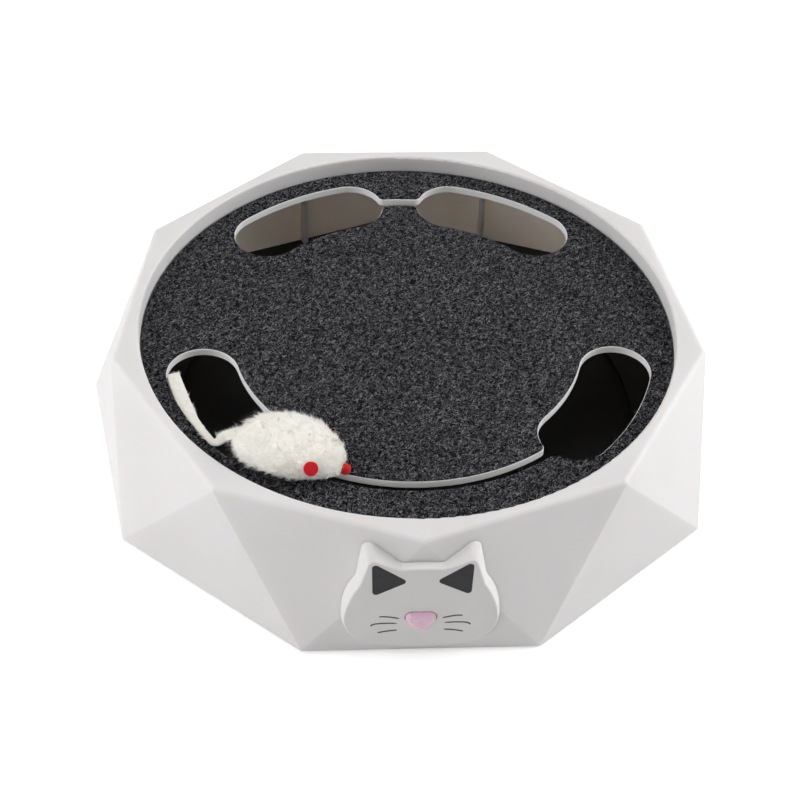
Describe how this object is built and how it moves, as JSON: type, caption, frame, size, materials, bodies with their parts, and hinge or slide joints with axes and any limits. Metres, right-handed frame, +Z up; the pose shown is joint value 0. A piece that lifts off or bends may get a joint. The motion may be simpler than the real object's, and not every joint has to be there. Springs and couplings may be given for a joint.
{
  "type": "electric spinning mouse cat toy",
  "caption": "Faceted white housing with a felt deck; a fur mouse on a hidden rotor is carried round along slots by a geared motor, with a push button in a cat face.",
  "frame": {"origin": "middle of the footprint, on the floor under the rubber feet", "axes": "+Z up, -Y towards the cat face, the deck's turning axis parallel to Z and 2.5 mm towards the front"},
  "size_m": [0.2814, 0.2808, 0.0716],
  "materials": {
    "shell_plastic": "fine matte moulding",
    "felt": "charcoal heather needle felt",
    "black_plastic": "fine matte moulding",
    "rubber": "matte",
    "screw_steel": "zinc plated",
    "ear_plastic": "matte",
    "pink_plastic": "satin",
    "board_green": "solder mask",
    "cell_jacket": "plain shrink jacket",
    "contact_metal": "nickel plated spring steel",
    "lead_jacket": "soft insulation",
    "gearbox_plastic": "plain moulding",
    "gear_plastic": "natural acetal",
    "brass": "turned",
    "motor_steel": "drawn steel can",
    "mouse_fur": "short pile fur",
    "eye_red": "felt discs",
    "nose_red": "small pompon"
  },
  "bodies": {
    "base": {"faceted_shell": "shell_plastic", "deck_panel": "shell_plastic", "felt_pad": "felt", "bottom_plate": "black_plastic", "rubber_feet": "rubber", "housing_screws": "screw_steel", "deck_screws": "screw_steel", "cat_face": "shell_plastic", "ear_inlays": "ear_plastic", "switch_body": "screw_steel", "control_board": "board_green", "board_screws": "screw_steel", "batteries": "cell_jacket", "battery_contacts": "contact_metal", "battery_leads": "lead_jacket", "motor_leads": "lead_jacket", "gearbox_base": "gearbox_plastic", "gearbox_cover": "gearbox_plastic", "gearbox_screws": "screw_steel", "cover_screws": "screw_steel", "centre_axle": "screw_steel", "hub_washer": "screw_steel", "gear_pins": "screw_steel", "motor_can": "motor_steel", "motor_end_cap": "black_plastic"},
    "rotor": {"output_gear": "gear_plastic", "rotor_arm": "gearbox_plastic", "wire_clamp_screw": "screw_steel", "mouse_wire": "screw_steel", "mouse_core": "gearbox_plastic", "mouse_body": "mouse_fur", "mouse_eyes": "eye_red", "mouse_nose": "nose_red", "mouse_tail": "mouse_fur"},
    "second_reduction": {"second_gear": "gear_plastic"},
    "first_reduction": {"first_gear": "gear_plastic"},
    "motor_rotor": {"motor_shaft": "screw_steel", "motor_pinion": "brass"},
    "button": {"nose_button": "pink_plastic", "switch_plunger": "black_plastic"},
    "door": {"battery_door": "black_plastic"}
  },
  "joints": [
    {"name": "rotor_spin", "type": "hinge", "parent": "base", "child": "rotor", "pos_m": [0, -0.0025, 0], "axis": [0, 0, -1], "continuous": true, "deforming": ["mouse_wire", "mouse_tail"]},
    {"name": "second_gear_spin", "type": "hinge", "parent": "base", "child": "second_reduction", "pos_m": [0.0231, -0.0025, 0], "axis": [0, 0, -1], "continuous": true},
    {"name": "first_gear_spin", "type": "hinge", "parent": "base", "child": "first_reduction", "pos_m": [0.02935, 0.00833, 0], "axis": [0, 0, -1], "continuous": true},
    {"name": "motor_spin", "type": "hinge", "parent": "base", "child": "motor_rotor", "pos_m": [0.02718, 0.02064, 0], "axis": [0, 0, -1], "continuous": true},
    {"name": "nose_button_press", "type": "slide", "parent": "base", "child": "button", "axis": [0, 0.9959, -0.0905], "range_m": [0, 0.0015], "stiffness_N_per_m": 300},
    {"name": "battery_door_slide", "type": "slide", "parent": "base", "child": "door", "axis": [0, 1, 0], "range_m": [0, 0.006]}
  ],
  "couplings": [
    {"joint": "second_gear_spin", "follows": "rotor_spin", "ratio": -4.5},
    {"joint": "first_gear_spin", "follows": "rotor_spin", "ratio": 18},
    {"joint": "motor_spin", "follows": "rotor_spin", "ratio": -72}
  ]
}
